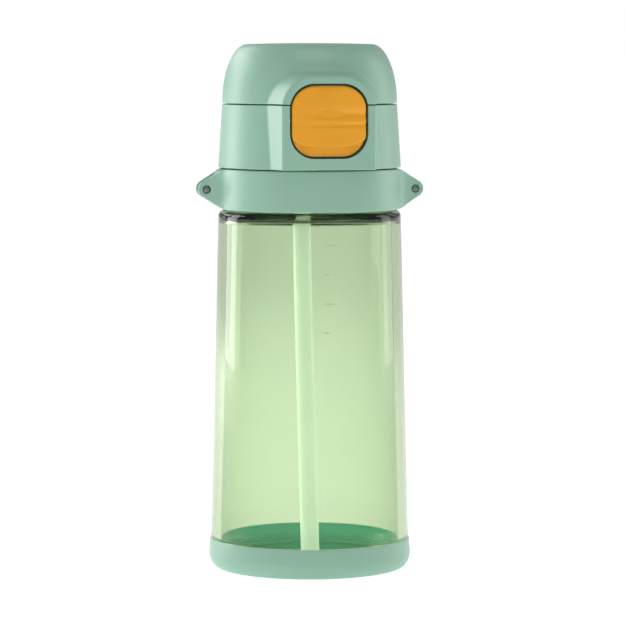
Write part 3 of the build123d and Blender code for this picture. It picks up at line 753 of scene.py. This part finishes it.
class BOTTLE_OT_stage(bpy.types.Operator):
    """Pale floor, softboxes and the camera"""

    bl_idname = "bottle.stage"
    bl_label = "Stage"

    def execute(self, context):
        colours = context.scene.bottle_colours
        self.lay_floor()
        self.light_world(context.scene)
        self.softbox("left_rim_softbox", (-0.90, 0.62, 0.35), (0.45, 1.0), colours.key_power)
        self.softbox("right_rim_softbox", (1.10, 0.20, 0.35), (0.40, 1.0), colours.fill_power)
        self.softbox("left_front_softbox", (-0.95, -0.80, 0.60), (0.5, 0.9), 1.2)
        self.softbox("left_back_softbox", (-0.55, 1.00, 0.75), (0.6, 0.6), 3.5)
        self.softbox("top_softbox", (0.0, -0.45, 1.3), (0.8, 0.8), 3.5)
        self.place_camera(context.scene)
        return {"FINISHED"}

    @staticmethod
    def lay_floor():
        """Wide pale floor at the bottle's foot."""
        bm = bmesh.new()
        bmesh.ops.create_circle(bm, cap_ends=True, segments=96, radius=FLOOR_RADIUS)
        bmesh.ops.translate(bm, verts=bm.verts[:], vec=(0, 0, CAD_BOX[0].z - FLOOR_DROP))
        mesh = bpy.data.meshes.new("floor")
        bm.to_mesh(mesh)
        bm.free()
        material, tree, shader, place = start_material("matt white card")
        colour = shade_drift(tree, place, linear("#F7F8F7"), size_mm=220, share=0.01)
        tree.links.new(colour, shader.inputs["Base Color"])
        shader.inputs["Roughness"].default_value = 0.9
        shader.inputs["Emission Color"].default_value = (1, 1, 1, 1)
        shader.inputs["Emission Strength"].default_value = FLOOR_GLOW
        mesh.materials.append(material)
        floor = bpy.data.objects.new("floor", mesh)
        bpy.context.scene.collection.objects.link(floor)

    @staticmethod
    def light_world(scene):
        """White surroundings, dimmer as a light than as a backdrop."""
        world = bpy.data.worlds.new("white room")
        world.use_nodes = True
        background = world.node_tree.nodes["Background"]
        background.inputs["Color"].default_value = (1, 1, 1, 1)
        background.inputs["Strength"].default_value = ROOM_LIGHT
        tree = world.node_tree
        white = {"Color": (1, 1, 1, 1), "Strength": ROOM_BACKDROP}
        backdrop = add_node(tree, "ShaderNodeBackground", white)
        path = add_node(tree, "ShaderNodeLightPath")
        seen = add_node(tree, "ShaderNodeMath", operation="MAXIMUM")
        tree.links.new(path.outputs["Is Camera Ray"], seen.inputs[0])
        tree.links.new(path.outputs["Is Transmission Ray"], seen.inputs[1])
        mixed = add_node(tree, "ShaderNodeMixShader", links={"Fac": seen.outputs["Value"]})
        tree.links.new(background.outputs["Background"], mixed.inputs[1])
        tree.links.new(backdrop.outputs["Background"], mixed.inputs[2])
        tree.links.new(mixed.outputs["Shader"], tree.nodes["World Output"].inputs["Surface"])
        scene.world = world
        scene.view_settings.view_transform = "Standard"

    @staticmethod
    def softbox(name, place, size, power):
        """Soft rectangular light aimed at the bottle's middle."""
        data = bpy.data.lights.new(name, "AREA")
        data.shape = "RECTANGLE"
        data.size, data.size_y = size
        data.energy = power
        light = bpy.data.objects.new(name, data)
        light.location = place
        aim = Vector((0, 0, (CAD_BOX[0].z + CAD_BOX[1].z) / 2)) - Vector(place)
        light.rotation_euler = aim.to_track_quat("-Z", "Y").to_euler()
        bpy.context.scene.collection.objects.link(light)

    @staticmethod
    def place_camera(scene):
        """Long lens in front, a little to the left and level with the lid."""
        side = math.radians(CAMERA_SIDE_DEG)
        distance, height = CAMERA_DISTANCE, CAD_BOX[1].z - CAMERA_BELOW_TOP
        right = Vector((math.cos(side), math.sin(side), 0))
        target = right * AIM_RIGHT + Vector((0, 0, AIM_HEIGHT))
        data = bpy.data.cameras.new("camera")
        data.sensor_width = 36.0
        data.lens = CAMERA_LENS
        camera = bpy.data.objects.new("camera", data)
        camera.location = (math.sin(side) * distance, -math.cos(side) * distance, height)
        aim = target - camera.location
        camera.rotation_euler = aim.to_track_quat("-Z", "Y").to_euler()
        scene.collection.objects.link(camera)
        scene.camera = camera


class BOTTLE_PT_panel(bpy.types.Panel):
    """Lists the bottle's makers"""

    bl_idname = "BOTTLE_PT_panel"
    bl_label = "Straw Bottle"
    bl_space_type = "VIEW_3D"
    bl_region_type = "UI"
    bl_category = "Bottle"

    def draw(self, context):
        for maker in MAKERS:
            self.layout.operator(maker.bl_idname)


PROPERTY_GROUPS = {
    "bottle_body_sizes": BottleBodySizes,
    "bottle_boot_sizes": BottleBootSizes,
    "bottle_button_sizes": BottleButtonSizes,
    "bottle_spring_sizes": BottleSpringSizes,
    "bottle_colours": BottleColours,
}
MAKERS = (
    BOTTLE_OT_stage,
    BOTTLE_OT_clear_body,
    BOTTLE_OT_mouldings,
    BOTTLE_OT_metalwork,
    BOTTLE_OT_soft_parts,
    BOTTLE_OT_scale,
    BOTTLE_OT_push_button,
)


def register():
    for name, group in PROPERTY_GROUPS.items():
        bpy.utils.register_class(group)
        setattr(bpy.types.Scene, name, bpy.props.PointerProperty(type=group))
    for cls in (*MAKERS, BOTTLE_PT_panel):
        bpy.utils.register_class(cls)


def unregister():
    for cls in reversed((*MAKERS, BOTTLE_PT_panel)):
        bpy.utils.unregister_class(cls)
    for name, group in PROPERTY_GROUPS.items():
        delattr(bpy.types.Scene, name)
        bpy.utils.unregister_class(group)


def main():
    register()
    for maker in MAKERS:
        area, name = maker.bl_idname.split(".")
        getattr(getattr(bpy.ops, area), name)()


if __name__ == "__main__":
    main()
